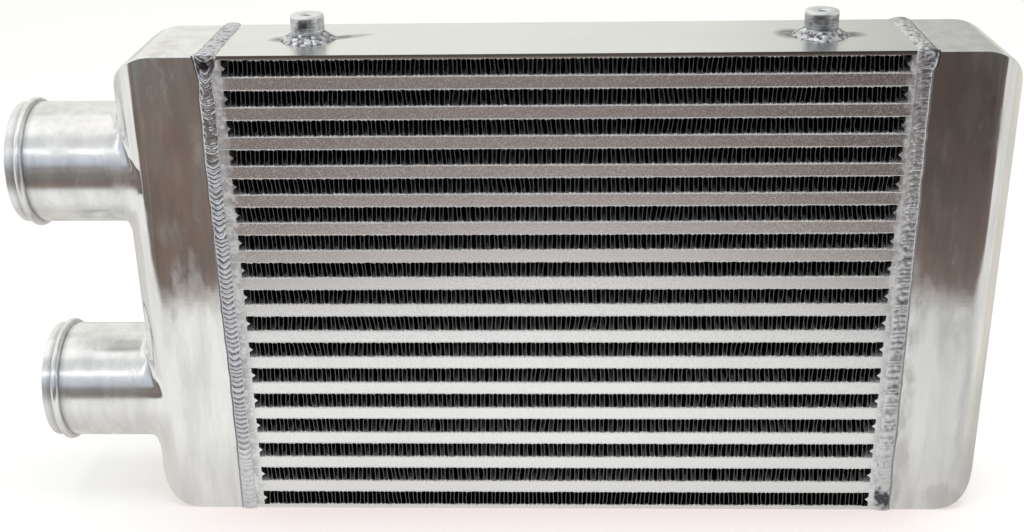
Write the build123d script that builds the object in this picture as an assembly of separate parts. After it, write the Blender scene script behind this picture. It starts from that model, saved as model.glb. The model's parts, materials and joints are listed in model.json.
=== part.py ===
from build123d import *

import os
from math import cos, hypot, radians, tan

# Bar-and-plate air-to-air charge cooler, all aluminium, with both hose stubs on
# one end tank. Millimetres. The origin is the centre of the core's underside.
# +X points from the tank with the stubs to the plain tank, +Y to the back, +Z up.

# --- Core: a stack of cooling rows and charge-air rows between two side plates
core_length = 420.0  # from one tank joint to the other
core_depth = 78.0
cooling_rows = 17
cooling_row_height = 10.4
charge_row_height = 7.0
sheet_thickness = 0.5
side_plate_thickness = 2.6
end_bar_width = 9.3  # flat part of the bar that closes a cooling row
end_bar_nose = 2.3
end_bar_nose_height = 3.6
long_bar_width = 5.0  # bar that closes a charge-air row, front and back

# --- Folded fins
cooling_fin_folds = 26
cooling_fin_foil = 0.3
cooling_fin_recess = 0.6  # behind the core's front and back
charge_fin_folds = 6
charge_fin_foil = 0.4
charge_fin_recess = 1.5  # inside the core's ends
fin_end_gap = 0.3  # between a fin and the bars beside it

# --- End tanks: one casting each, open towards the core
tank_length = 61.5
tank_wall = 4.0
tank_corner_radius = 28.7  # outer corners, seen from the front
tank_edge_radius = 20.0  # outer upright edges, seen from above
divider_thickness = 3.0

# --- Hose stubs, cast with the left tank
stub_outer_radius = 38.0
stub_bore_radius = 34.8
stub_length = 69.2
stub_inset = 77.5  # each stub's axis, from the core's top or underside
stub_flare = 9.0  # hollow foot where the stub meets the tank, in two steps
bead_radius = 40.75
bead_width = 5.6
bead_setback = 8.9  # middle of the bead, from the open end
lip_chamfer = 0.8
bore_run_in = 2.0  # how far the bore runs on past the tank's edge rounding

# --- Mounting bosses on the top side plate, tapped M8
boss_radius = 10.2
boss_height = 15.4
boss_chamfer = 0.7
boss_inset = 55.0  # boss axis, from the tank joint
tapped_hole_radius = 3.4
tapped_hole_depth = 12.0
drill_point_angle = 118.0
boss_weld_radius = 18.0
boss_weld_height = 6.0

# --- Weld beads over the two tank joints. The cooler stands on its flush underside.
bead_weld_width = 8.4
bead_weld_land = 3.2  # the crown's flat width
bead_weld_crown = 1.6
bead_weld_edge = 0.3  # height left at the bead's rims

# --- Sizes worked out from the ones above
charge_rows = cooling_rows - 1
row_pitch = cooling_row_height + charge_row_height + 2 * sheet_thickness
core_height = 2 * side_plate_thickness + charge_rows * row_pitch + cooling_row_height
joint_x = core_length / 2
tank_end_x = joint_x + tank_length


def cooling_row_z(row):
    """Underside of a cooling row. Row 1 is the lowest."""
    return side_plate_thickness + (row - 1) * row_pitch


def charge_row_z(row):
    """Underside of a charge-air row, which lies above the cooling row of its number."""
    return cooling_row_z(row) + cooling_row_height + sheet_thickness


def block(x_range, y_range, z_range):
    """A square-edged solid between two limits on each axis."""
    limits = (x_range, y_range, z_range)
    size = [high - low for low, high in limits]
    centre = [(low + high) / 2 for low, high in limits]
    return Pos(*centre) * Box(*size)


def folded_strip(length, height, folds, foil):
    """Face of a foil folded up and down. Its crests touch both sides of its row."""
    half_fold = length / folds / 2
    upright = foil * hypot(half_fold, height) / half_fold  # foil, measured upright
    corners = [(i * half_fold - length / 2, i % 2) for i in range(2 * folds + 1)]
    low_line = [(x, up * (height - upright)) for x, up in corners]
    high_line = [(x, z + upright) for x, z in reversed(low_line)]
    return make_face(Polyline(*low_line, *high_line, close=True))


def cooling_fin(row):
    """Cooling-air fin: folds side by side along the core, open front to back."""
    window = core_length - 2 * (end_bar_width + end_bar_nose + fin_end_gap)
    strip = folded_strip(window, cooling_row_height, cooling_fin_folds, cooling_fin_foil)
    half_depth = core_depth / 2 - cooling_fin_recess
    return Pos(0, 0, cooling_row_z(row)) * extrude(Plane.XZ * strip, half_depth, both=True)


def charge_fin(row):
    """Charge-air fin: folds side by side across the core, open end to end."""
    window = core_depth - 2 * (long_bar_width + fin_end_gap)
    strip = folded_strip(window, charge_row_height, charge_fin_folds, charge_fin_foil)
    half_length = joint_x - charge_fin_recess
    return Pos(0, 0, charge_row_z(row)) * extrude(Plane.YZ * strip, half_length, both=True)


def end_bars(side):
    """The bars that close the cooling rows at one end. side is -1 left, 1 right."""
    middle = cooling_row_height / 2
    shoulder = end_bar_nose_height / 2
    outline = Polyline(
        (0, 0),
        (end_bar_width, 0),
        (end_bar_width, middle - shoulder),
        (end_bar_width + end_bar_nose, middle),
        (end_bar_width, middle + shoulder),
        (end_bar_width, cooling_row_height),
        (0, cooling_row_height),
        close=True,
    )
    bar = Pos(-joint_x, 0, 0) * extrude(Plane.XZ * make_face(outline), core_depth / 2, both=True)
    if side > 0:
        bar = mirror(bar, Plane.YZ)
    return [Pos(0, 0, cooling_row_z(row)) * bar for row in range(1, cooling_rows + 1)]


def long_bars(side):
    """The bars that close the charge-air rows. side is -1 front, 1 back."""
    y_range = sorted((side * core_depth / 2, side * (core_depth / 2 - long_bar_width)))
    x_range = (-joint_x, joint_x)
    heights = [charge_row_z(row) for row in range(1, charge_rows + 1)]
    return [block(x_range, y_range, (z, z + charge_row_height)) for z in heights]


def core_layer(z, thickness):
    """A flat layer over the whole core."""
    y = core_depth / 2
    return block((-joint_x, joint_x), (-y, y), (z, z + thickness))


def separator_sheets():
    """Two sheets for each charge-air row, one under it and one over it."""
    sheets = []
    for row in range(1, charge_rows + 1):
        z = charge_row_z(row)
        sheets.append(core_layer(z - sheet_thickness, sheet_thickness))
        sheets.append(core_layer(z + charge_row_height, sheet_thickness))
    return sheets


def tank_form(inset):
    """The right tank's outer form, or its chamber when inset is the wall."""
    length = tank_length - inset
    half_depth = core_depth / 2 - inset
    half_height = core_height / 2 - inset
    start = (Align.MIN, Align.CENTER)
    front_view = Rectangle(length, 2 * half_height, align=start)
    outer_corners = front_view.vertices().group_by(Axis.X)[-1]
    front_view = fillet(outer_corners, tank_corner_radius - inset)
    plan_view = Rectangle(length, 2 * half_depth, align=start)
    outer_edges = plan_view.vertices().group_by(Axis.X)[-1]
    plan_view = fillet(outer_edges, tank_edge_radius - inset)
    from_front = extrude(Plane.XZ * front_view, half_depth, both=True)
    from_above = extrude(plan_view, half_height, both=True)
    return Pos(joint_x, 0, core_height / 2) * (from_front & from_above)


def stub_form():
    """Outside of a hose stub, turned round X, with its foot at X = 0."""
    radius = stub_outer_radius
    bead_x = stub_length - bead_setback
    hollow = stub_flare * (1 - cos(radians(45)))
    foot = Polyline(
        (-tank_edge_radius, 0),
        (-tank_edge_radius, radius),
        (0, radius + stub_flare),
        (hollow, radius + hollow),
        (stub_flare, radius),
        (bead_x - bead_width / 2, radius),
    )
    bead = ThreePointArc(
        (bead_x - bead_width / 2, radius),
        (bead_x, bead_radius),
        (bead_x + bead_width / 2, radius),
    )
    lip = Polyline(
        (bead_x + bead_width / 2, radius),
        (stub_length - lip_chamfer, radius),
        (stub_length, radius - lip_chamfer),
        (stub_length, 0),
        (-tank_edge_radius, 0),
    )
    return revolve(make_face(foot + bead + lip), Axis.X)


def left_tank():
    """The tank with both hose stubs, one casting."""
    outside = mirror(tank_form(0), Plane.YZ)
    chamber = mirror(tank_form(tank_wall), Plane.YZ)
    bore_length = stub_length + tank_edge_radius + bore_run_in
    bore = Cylinder(stub_bore_radius, bore_length, align=(Align.CENTER, Align.CENTER, Align.MAX))
    bore = Pos(stub_length, 0, 0) * Rot(0, 90, 0) * bore
    foot_reach = tank_edge_radius + stub_flare
    foot_height = stub_outer_radius + stub_flare
    flush = Box(2 * foot_reach, core_depth, 2 * foot_height)
    beyond = Box(stub_length, 2 * bead_radius, 2 * foot_height, align=(Align.MIN, Align.CENTER, Align.CENTER))
    stub = stub_form() & (flush + Pos(stub_flare, 0, 0) * beyond)
    bores = []
    for axis_z in (stub_inset, core_height - stub_inset):
        place = Pos(-tank_end_x, 0, axis_z) * Rot(0, 0, 180)
        outside += place * stub
        bores.append(place * bore)
    return outside - chamber - bores[0] - bores[1]


def right_tank():
    """The plain tank, where the charge air turns back."""
    return tank_form(0) - tank_form(tank_wall)


def tank_divider():
    """Plate across the left tank, on the end bar of the middle cooling row."""
    reach = core_length + tank_length
    middle = core_height / 2
    slab = Pos(0, 0, middle) * Box(2 * reach, core_depth, divider_thickness)
    return mirror(tank_form(tank_wall), Plane.YZ) & slab


def boss(x):
    """Round boss with a blind tapped hole, open upwards."""
    upright = (Align.CENTER, Align.CENTER, Align.MIN)
    body = Cylinder(boss_radius, boss_height, align=upright)
    body = chamfer(body.edges().group_by(Axis.Z)[-1], boss_chamfer)
    hole = Pos(0, 0, boss_height - tapped_hole_depth) * Cylinder(
        tapped_hole_radius, tapped_hole_depth, align=upright
    )
    point_height = tapped_hole_radius / tan(radians(drill_point_angle / 2))
    point = Pos(0, 0, boss_height - tapped_hole_depth - point_height) * Cone(
        0, tapped_hole_radius, point_height, align=upright
    )
    return Pos(x, 0, core_height) * (body - hole - point)


def boss_weld(x):
    """Fillet weld between a boss and the side plate."""
    section = Polyline(
        (boss_radius, boss_weld_height), (boss_radius, 0), (boss_weld_radius, 0), close=True
    )
    return Pos(x, 0, core_height) * revolve(Plane.XZ * make_face(section), Axis.Z)


def tank_weld(side):
    """Weld bead round a tank joint, dressed flush underneath. side is -1 left, 1 right."""
    half_land = bead_weld_land / 2
    half_width = bead_weld_width / 2
    corner = bead_weld_crown
    base = (Align.CENTER, Align.MIN)

    def outline(stand, x):
        """Face round the joint that stands out from it, upright at one x."""
        depth = core_depth + 2 * stand
        face = Rectangle(depth, core_height + stand, align=base)
        top_corners = face.vertices().group_by(Axis.Y)[-1]
        return Pos(x, 0, 0) * (Plane.YZ * fillet(top_corners, corner))

    land = extrude(outline(bead_weld_crown, 0), half_land, both=True)
    flank = loft([outline(bead_weld_crown, half_land), outline(bead_weld_edge, half_width)])
    joint = Pos(0, 0, core_height / 2) * Box(2 * bead_weld_width, core_depth, core_height)
    bead = land + flank + mirror(flank, Plane.YZ) - joint
    return Pos(side * joint_x, 0, 0) * bead


parts = {
    "bottom_side_plate": core_layer(0, side_plate_thickness),
    "top_side_plate": core_layer(core_height - side_plate_thickness, side_plate_thickness),
    "separator_sheets": separator_sheets(),
    "long_bars_front": long_bars(-1),
    "long_bars_back": long_bars(1),
    "end_bars_left": end_bars(-1),
    "end_bars_right": end_bars(1),
    "left_tank": left_tank(),
    "right_tank": right_tank(),
    "tank_divider": tank_divider(),
    "boss_left": boss(boss_inset - joint_x),
    "boss_right": boss(joint_x - boss_inset),
    "boss_weld_left": boss_weld(boss_inset - joint_x),
    "boss_weld_right": boss_weld(joint_x - boss_inset),
    "tank_weld_left": tank_weld(-1),
    "tank_weld_right": tank_weld(1),
}
for row in range(1, cooling_rows + 1):
    parts[f"cooling_fin_{row:02d}"] = cooling_fin(row)
for row in range(1, charge_rows + 1):
    parts[f"charge_fin_{row:02d}"] = charge_fin(row)

os.makedirs("parts", exist_ok=True)
for name, shape in parts.items():
    node = Compound(children=shape) if isinstance(shape, list) else shape
    export_step(node, f"parts/{name}.step")
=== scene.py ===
import json
import math
from functools import partialmethod
from types import SimpleNamespace

import bmesh
import bpy
import numpy as np
from mathutils import Matrix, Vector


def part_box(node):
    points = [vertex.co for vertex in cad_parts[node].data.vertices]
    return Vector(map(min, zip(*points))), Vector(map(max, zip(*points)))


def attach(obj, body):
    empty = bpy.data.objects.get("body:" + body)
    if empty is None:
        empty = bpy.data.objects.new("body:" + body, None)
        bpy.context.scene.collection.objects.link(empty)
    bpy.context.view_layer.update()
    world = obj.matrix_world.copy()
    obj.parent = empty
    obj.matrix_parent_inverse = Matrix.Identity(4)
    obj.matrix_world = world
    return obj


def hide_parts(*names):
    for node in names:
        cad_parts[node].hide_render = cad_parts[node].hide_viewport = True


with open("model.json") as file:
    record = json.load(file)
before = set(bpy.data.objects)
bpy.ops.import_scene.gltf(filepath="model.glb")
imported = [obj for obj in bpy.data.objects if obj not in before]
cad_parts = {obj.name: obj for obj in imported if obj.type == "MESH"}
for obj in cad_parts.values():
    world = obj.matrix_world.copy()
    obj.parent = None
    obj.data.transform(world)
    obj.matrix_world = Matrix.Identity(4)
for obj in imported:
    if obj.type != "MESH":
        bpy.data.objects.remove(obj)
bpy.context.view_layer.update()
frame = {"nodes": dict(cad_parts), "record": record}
scene = bpy.context.scene

# A bar-and-plate charge-air cooler on a white floor. Shapes are worked out in
# millimetres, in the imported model's frame, and written to meshes in metres.
MM = 0.001


def corners(node):
    """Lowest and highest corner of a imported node, in millimetres."""
    low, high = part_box(node)
    return np.array(low) / MM, np.array(high) / MM


def mount(name):
    """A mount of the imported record."""
    return next(m for m in frame["record"]["mounts"] if m["name"] == name)


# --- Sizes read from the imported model
JOINT, HALF_DEPTH, TOP = corners("top_side_plate")[1]
TANK_END = corners("right_tank")[1][0]
STUB_END = -corners("left_tank")[0][0]
BEAD_RADIUS = corners("left_tank")[1][1]
STUB_AXES = [mount(name)["pos_m"][2] / MM for name in ("lower_stub_bore", "upper_stub_bore")]
BORE_RADIUS = mount("upper_stub_bore")["dims"]["r_mm"]
THREAD_RADIUS = mount("left_boss_thread")["dims"]["r_mm"]
THREAD_DEPTH = mount("left_boss_thread")["dims"]["length_mm"]
COOLING_ROWS = sum("cooling_fin" in name for name in frame["nodes"])

# --- Sizes of the tanks and stubs
TANK_WALL = 4.0
CORNER_RADIUS = 28.7
EDGE_RADIUS = 20.0
RIM_ROUND = 1.1  # on the edges between the front and the top of a tank
CHAMBER_OVERLAP = 5.0  # how far a tank's chamber runs on past the joint
STUB_RADIUS = 38.0
STUB_BLEND = 9.0  # hollow foot between a stub and its tank
STUB_ROOT = 45.0  # from the joint to the start of a stub, inside its tank
BEAD_HALF_WIDTH = 2.8
BEAD_SETBACK = 8.9
LIP_ROUND = 0.8
MOUTH_ROUND = 0.6  # on the inner edge of a stub's open end
BORE_REACH = 22.0  # how far a bore runs on inside the tank's end


# === mesh helpers

def quads(rows, columns, first=0, wrap=False):
    """Faces of a grid of points kept row by row. wrap joins each row's ends."""
    faces = []
    for row in range(rows - 1):
        for column in range(columns if wrap else columns - 1):
            beside = (column + 1) % columns
            low, high = first + row * columns, first + (row + 1) * columns
            faces.append((low + column, low + beside, high + beside, high + column))
    return faces


def end_caps(rows, columns, first=0):
    """The faces that close a wrapped grid of points at its first and last row."""
    last = first + (rows - 1) * columns
    return [tuple(range(first, first + columns)), tuple(range(last, last + columns))]


def mesh_object(name, points, faces):
    """A mesh from points in millimetres, with its faces turned outwards."""
    mesh = bpy.data.meshes.new(name)
    mesh.from_pydata((np.asarray(points, float).reshape(-1, 3) * MM).tolist(), [], faces)
    mesh.update()
    obj = bpy.data.objects.new(name, mesh)
    scene.collection.objects.link(obj)
    work = bmesh.new()
    work.from_mesh(mesh)
    bmesh.ops.recalc_face_normals(work, faces=work.faces)
    work.to_mesh(mesh)
    work.free()
    return obj


def paint(obj, material):
    obj.data.materials.clear()
    obj.data.materials.append(material)


def dress(obj, material, nodes=(), sharp=40.0):
    """Gives a piece its material, slot, body and shading."""
    paint(obj, material)
    obj.data.shade_smooth()
    obj.data.set_sharp_from_angle(angle=math.radians(sharp))
    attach(obj, "root")
    if nodes:
        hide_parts(*nodes)
    return obj


def add_shade_and_grime(obj, values):
    """Keeps how dark each point is painted, from 0 to 1, for the material: painted shade in hollows
    and along toes, plus burn marks and stains.
    """
    layer = obj.data.attributes.new("grime", "FLOAT", "POINT")
    layer.data.foreach_set("value", np.clip(np.ravel(values), 0, 1).astype(np.float32))


def points_of(obj):
    """An object's points, in millimetres."""
    flat = np.zeros(len(obj.data.vertices) * 3)
    obj.data.vertices.foreach_get("co", flat)
    return flat.reshape(-1, 3) / MM


def set_points(obj, points):
    obj.data.vertices.foreach_set("co", (points * MM).ravel())
    obj.data.update()


def boolean(obj, other, operation):
    """Joins or cuts obj with other, and deletes other."""
    modifier = obj.modifiers.new("cut", "BOOLEAN")
    modifier.operation = operation
    modifier.solver = "EXACT"
    modifier.object = other
    evaluated = obj.evaluated_get(bpy.context.evaluated_depsgraph_get())
    made = bpy.data.meshes.new_from_object(evaluated)
    obj.modifiers.clear()
    obj.data = made
    bpy.data.objects.remove(other)


def lathe(name, profile, sides, place):
    """A turned form. profile lists (distance along the axis, radius), and place makes a
    point of a distance and two offsets from the axis."""
    turn = np.linspace(0, 2 * math.pi, sides, endpoint=False)
    points = [place(along, r * math.sin(a), r * math.cos(a)) for along, r in profile for a in turn]
    faces = quads(len(profile), sides, wrap=True) + end_caps(len(profile), sides)
    return mesh_object(name, points, faces)


def wander(noise, count, every, size):
    """A slow random curve."""
    knots = noise.normal(0, size, count // every + 3)
    smooth = np.convolve(np.repeat(knots, every), np.ones(every) / every, "same")
    return smooth[:count]


def bump_at(values, middle, reach):
    """A soft hump from 0 to 1."""
    return np.exp(-(((values - middle) / reach) ** 2))


# === tanks

def box_distance(u, v, half_u, half_v, radius):
    """Distance to a rectangle with rounded corners, negative inside."""
    past_u = np.abs(u) - (half_u - radius)
    past_v = np.abs(v) - (half_v - radius)
    outside = np.hypot(np.maximum(past_u, 0), np.maximum(past_v, 0))
    return outside + np.minimum(np.maximum(past_u, past_v), 0) - radius


def tank_distance(points):
    """Distance to a tank's outer form. The form runs on through the core."""
    x, y, z = points.T
    from_front = box_distance(x, z - TOP / 2, TANK_END, TOP / 2, CORNER_RADIUS)
    from_above = box_distance(x, y, TANK_END, HALF_DEPTH, EDGE_RADIUS)
    rim = np.hypot(np.maximum(from_front + RIM_ROUND, 0), np.maximum(from_above + RIM_ROUND, 0))
    return rim + np.minimum(np.maximum(from_front, from_above), -RIM_ROUND)


def gradient(distance, points, step=0.02):
    """Unit normals of a distance field."""
    slopes = np.array([distance(points + d) - distance(points - d) for d in step * np.eye(3)]).T
    return slopes / np.maximum(np.linalg.norm(slopes, axis=1, keepdims=True), 1e-9)


def stubbed_distance(points):
    """Distance to the left tank with its stubs, blended by a hollow foot."""
    tank_normal = gradient(tank_distance, points)
    result = tank_distance(points)
    for axis_z in STUB_AXES:
        across, up = points[:, 1], points[:, 2] - axis_z
        radial = np.hypot(across, up)
        stub = radial - STUB_RADIUS
        facing = (tank_normal[:, 1] * across + tank_normal[:, 2] * up) / np.maximum(radial, 1e-6)
        blend = np.maximum(STUB_BLEND * (1 - np.maximum(facing, 0)), 0.05)
        near = np.hypot(np.maximum(blend - result, 0), np.maximum(blend - stub, 0))
        result = np.maximum(np.minimum(result, stub), blend) - near
    return result


def settle(distance, points, rounds=6):
    """Moves points onto the zero surface of a distance field."""
    points = points.copy()
    for _ in range(rounds):
        points -= gradient(distance, points) * distance(points)[:, None]
    return points


# How finely a tank is divided: steps along a straight run and points round a corner.
FINE = (28, 31)
COARSE = (12, 13)
CREASE_STEPS = np.array([2.2, 1.5, 1.0, 0.6, 0.3])  # points next to a crease, at these distances
CREASE_CLEAR = 3.0  # where the even steps start
LID_STEPS = (0.3, 0.7, 1.2, 2.2, 6.0, 14.0)  # rings of points from a tank's rim inwards


def slice_outline(x_end, half_depth, edge_radius, straight_end, joint, count):
    """Outline of a tank seen from above, where its end stands at x_end, front to back."""
    arc_centre = straight_end - edge_radius
    last = math.asin(min(max((x_end - arc_centre) / edge_radius, 0), 1))
    line = [(joint, -half_depth), (min(x_end, arc_centre), -half_depth)]
    for angle in np.linspace(0, last, 40)[1:]:
        inset = edge_radius * (1 - math.cos(angle))
        line.append((arc_centre + edge_radius * math.sin(angle), inset - half_depth))
    line = np.array(line)
    lengths = np.append(0, np.cumsum(np.hypot(*np.diff(line, axis=0).T)))
    even = np.linspace(0, lengths[-1] - CREASE_CLEAR, count)
    along = np.concatenate([even, lengths[-1] - CREASE_STEPS])
    front = np.array([np.interp(along, lengths, line[:, i]) for i in (0, 1)]).T
    crease_y = line[-1][1]
    even = np.linspace(CREASE_CLEAR, -crease_y, count // 3)
    inward = np.concatenate([[0], CREASE_STEPS[::-1], even])
    end = np.array([(x_end, crease_y + step) for step in inward])
    half = np.concatenate([front, end])
    return np.concatenate([half, (half * (1, -1))[-2::-1]])


def tank_mesh(name, inset, joint, fineness):
    """Closed form of a tank on +X, from stacked slices. inset gives its chamber."""
    steps, corner_points = fineness
    corner = CORNER_RADIUS - inset
    end = TANK_END - inset
    depth = HALF_DEPTH - inset
    straight = TOP / 2 - inset - corner
    turn = np.radians(np.linspace(90, 0, corner_points))
    levels = [(-straight - corner * math.sin(a), end - corner + corner * math.cos(a)) for a in turn]
    levels += [(z, end) for z in np.linspace(-straight, straight, 3 * steps)[1:-1]]
    levels += [(-z, x) for z, x in reversed(levels[:corner_points])]
    rows = []
    for z, x_end in levels:
        outline = slice_outline(x_end, depth, EDGE_RADIUS - inset, end, joint, steps)
        rows.append([(x, y, z + TOP / 2) for x, y in outline])
    lids = []
    for inward in LID_STEPS:
        x_limit, y_limit = end - corner - inward, depth - inward
        lids.append([(min(x, x_limit), max(-y_limit, min(y_limit, y)), z) for x, y, z in rows[-1]])
    under = [[(x, y, TOP - z) for x, y, z in lid] for lid in reversed(lids)]
    rows = under + rows + lids
    columns = len(rows[0])
    faces = quads(len(rows), columns) + end_caps(len(rows), columns)
    first = [row * columns for row in range(len(rows))]
    faces.append(tuple(first + [at + columns - 1 for at in reversed(first)]))
    return mesh_object(name, rows, faces)


def set_normals(obj, distance, tolerance=0.03):
    """Points on the outer form take its exact normals. The rest keep their own."""
    mesh = obj.data
    points = points_of(obj)
    exact = gradient(distance, points)
    on_form = np.abs(distance(points)) < tolerance
    loops = np.zeros(len(mesh.loops), int)
    mesh.loops.foreach_get("vertex_index", loops)
    normals = np.zeros((len(loops), 3))
    for face in mesh.polygons:
        own = np.array(face.normal)
        for loop in face.loop_indices:
            vertex = loops[loop]
            if on_form[vertex] and own @ exact[vertex] > 0.7:
                normals[loop] = exact[vertex]
    mesh.normals_split_custom_set(normals.tolist())


def mirrored(points):
    return points * (-1, 1, 1)


def stub_profile():
    """Outside of a stub as (distance from the tank's middle, radius), foot to open end."""
    bead_x = STUB_END - BEAD_SETBACK
    rise = BEAD_RADIUS - STUB_RADIUS
    arc = (BEAD_HALF_WIDTH ** 2 + rise ** 2) / (2 * rise)
    straight = np.linspace(JOINT + STUB_ROOT, bead_x - BEAD_HALF_WIDTH - 1, 26)
    profile = [(x, STUB_RADIUS) for x in straight]
    for step in np.linspace(-BEAD_HALF_WIDTH, BEAD_HALF_WIDTH, 17):
        profile.append((bead_x + step, BEAD_RADIUS - arc + math.sqrt(arc ** 2 - step ** 2)))
    for angle in np.radians(np.linspace(0, 90, 6)):
        along, inward = LIP_ROUND * (1 - math.sin(angle)), LIP_ROUND * (1 - math.cos(angle))
        profile.append((STUB_END - along, STUB_RADIUS - inward))
    return profile


def bore_profile():
    """A stub's bore, rounded at its open end and running on past it."""
    mouth = BORE_RADIUS + MOUTH_ROUND
    return [
        (TANK_END - BORE_REACH, BORE_RADIUS),
        (STUB_END - 1.0, BORE_RADIUS),
        (STUB_END - 0.3, BORE_RADIUS + MOUTH_ROUND / 4),
        (STUB_END, mouth),
        (STUB_END + 3.0, mouth),
    ]


def hollow_tank(tank):
    """Cuts a tank's chamber, which is open towards the core."""
    chamber = tank_mesh("chamber", TANK_WALL, JOINT - CHAMBER_OVERLAP, COARSE)
    boolean(tank, chamber, "DIFFERENCE")


def left_tank(material):
    """The casting with both hose stubs, made on +X and mirrored at the end."""
    tank = tank_mesh("left_tank_casting", 0, JOINT, FINE)
    places = [lambda x, y, up, axis_z=axis_z: (x, y, axis_z + up) for axis_z in STUB_AXES]
    for place in places:
        boolean(tank, lathe("stub", stub_profile(), 128, place), "UNION")
    points = points_of(tank)
    foot = points[:, 0] < TANK_END + 1.6 * STUB_BLEND
    points[foot] = settle(stubbed_distance, points[foot])
    set_points(tank, points)
    hollow_tank(tank)
    for place in places:
        boolean(tank, lathe("bore", bore_profile(), 96, place), "DIFFERENCE")
    set_points(tank, mirrored(points_of(tank)))
    tank.data.flip_normals()
    dress(tank, material, ["left_tank"], 30)
    set_normals(tank, lambda p: stubbed_distance(mirrored(p)))


def right_tank(material):
    """The plain casting."""
    tank = tank_mesh("right_tank_casting", 0, JOINT, FINE)
    set_points(tank, settle(tank_distance, points_of(tank)))
    hollow_tank(tank)
    dress(tank, material, ["right_tank"], 30)
    set_normals(tank, tank_distance)


# === cooling fins

FIN_PITCH = 5.51  # one fold, two walls
FIN_FOIL = 0.28
CREST_SHARE = 0.135  # of a wall's height that its crest's rounding takes
CREST_PULL = 0.5225  # how far that rounding draws a wall's end aside
WALL_SHARES = (0.0, 0.09, 0.27, 0.5, 0.73, 0.91)  # heights at which a wall has points
# How unevenly the foil is folded: how the walls lean, together and alone, shift and bow.
LEAN_TOGETHER, LEAN_ALONE, SHIFT, BOW = 0.75, 0.16, 0.1, 0.24


def fin_line(length, height, noise):
    """Middle line of a folded foil as points in XZ, starting at the lower left."""
    folds = round(length / FIN_PITCH)
    wall = length / folds / 2
    bottom, top = FIN_FOIL / 2, height - FIN_FOIL / 2
    leans = wander(noise, 2 * folds, 9, LEAN_TOGETHER)
    line = []
    for fold in range(2 * folds):
        x = -length / 2 + (fold + 0.5) * wall + noise.normal(0, SHIFT)
        rising = fold % 2 == 0
        lean = (leans[fold] + noise.normal(0, LEAN_ALONE)) * (1 if rising else -1)
        bow = noise.normal(0, BOW)
        for share in WALL_SHARES:
            z = bottom + (top - bottom) * (share if rising else 1 - share)
            to_crest = min(share, 1 - share)
            pull = 0.0
            if to_crest < CREST_SHARE:
                pull = CREST_PULL * (1 - math.sin(math.pi * to_crest / (2 * CREST_SHARE)))
            sway = lean * (share - 0.5) + bow * math.sin(math.pi * share)
            line.append((x + sway + (pull if share >= 0.5 else -pull), z))
    return np.array(line)


def fin_of_row(row):
    """A cooling row's lowest and highest corner, its fin's middle line and its dice."""
    low, high = corners(f"cooling_fin_{row:02d}")
    noise = np.random.default_rng(700 + row)
    line = fin_line(high[0] - low[0] - FIN_FOIL, high[2] - low[2], noise)
    return low, high, line, noise


def offset_line(line, distance):
    """A line moved sideways by its own normals."""
    ahead = np.gradient(line, axis=0)
    ahead /= np.maximum(np.linalg.norm(ahead, axis=1, keepdims=True), 1e-9)
    return line + distance * np.column_stack([-ahead[:, 1], ahead[:, 0]])


def cooling_fin(row, material):
    """One folded fin, open front to back."""
    low, high, line, _ = fin_of_row(row)
    sides = [offset_line(line, FIN_FOIL / 2), offset_line(line, -FIN_FOIL / 2)[::-1]]
    section = np.concatenate(sides)
    section[:, 1] = np.clip(section[:, 1], 0, high[2] - low[2]) + low[2]
    section[:, 0] = np.clip(section[:, 0], low[0], high[0])
    count = len(section)
    points = [(x, y, z) for y in (low[1], high[1]) for x, z in section]
    faces = quads(2, count, wrap=True)
    for end in (0, count):
        for i in range(count // 2 - 1):
            faces.append((end + i, end + i + 1, end + count - 2 - i, end + count - 1 - i))
    fin = mesh_object(f"cooling_foil_{row:02d}", points, faces)
    dress(fin, material, [f"cooling_fin_{row:02d}"], 30)


BRAZE_DEPTH = 0.9  # front to back
BRAZE_CUSP = 0.8  # how far a fillet runs up a wall
BRAZE_CUSP_RANGE = (0.1, 1.1)
BRAZE_SAG = 0.08  # height of a fillet midway between two walls
BRAZE_SETBACK = 0.12  # behind the front and back of the core
BRAZE_ROOT = 0.3  # how deep a fillet reaches into its sheet
BRAZE_CREST = 0.35  # from a fillet's face back to its highest line
WALL_REACH = 0.14  # share of a row's height in which a wall is at its sheet


def braze_edges(row, material):
    """Braze where a cooling fin's crests meet the sheets, front and back."""
    low, high, line, noise = fin_of_row(row)
    heights = line[:, 1] + low[2]
    points, faces = [], []
    for edge, sign in ((low[2], 1), (high[2], -1)):
        at_sheet = np.abs(heights - edge) < WALL_REACH * (high[2] - low[2])
        walls = np.sort(line[at_sheet, 0])
        middles = (walls[:-1] + walls[1:]) / 2
        tall = np.clip(BRAZE_CUSP * noise.normal(1, 0.4, len(walls)), *BRAZE_CUSP_RANGE)
        x = np.concatenate([walls, middles])
        rise = np.concatenate([tall, np.full(len(middles), BRAZE_SAG)])
        order = np.argsort(x)
        root = edge - sign * BRAZE_ROOT
        for front in (-1, 1):
            face = front * (HALF_DEPTH - BRAZE_SETBACK)
            crest, back = face - front * BRAZE_CREST, face - front * BRAZE_DEPTH
            first = len(points)
            for px, up in zip(x[order], rise[order]):
                shoulder, tip = edge + sign * 0.6 * up, edge + sign * up
                points += [(px, face, root), (px, face, shoulder), (px, crest, tip)]
                points += [(px, back, shoulder), (px, back, root)]
            faces += quads(len(x), 5, first, wrap=True) + end_caps(len(x), 5, first)
    braze = mesh_object(f"braze_edges_{row:02d}", points, faces)
    dress(braze, material, sharp=50)


# === weld beads

BEAD_STEP = 0.38  # between the cross-sections of a bead
DIME_SWELL = 0.7  # share of a dime's length over which it swells
TOE_LINE = 0.9  # width of the painted shadow line along a bead's toe
LUMP_STEPS, LUMP_PLACES = 5, 8  # how fine a bead's lumps are, along and across
OVER = TOP + 2 * HALF_DEPTH  # length of a bead up the front and over the top
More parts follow.
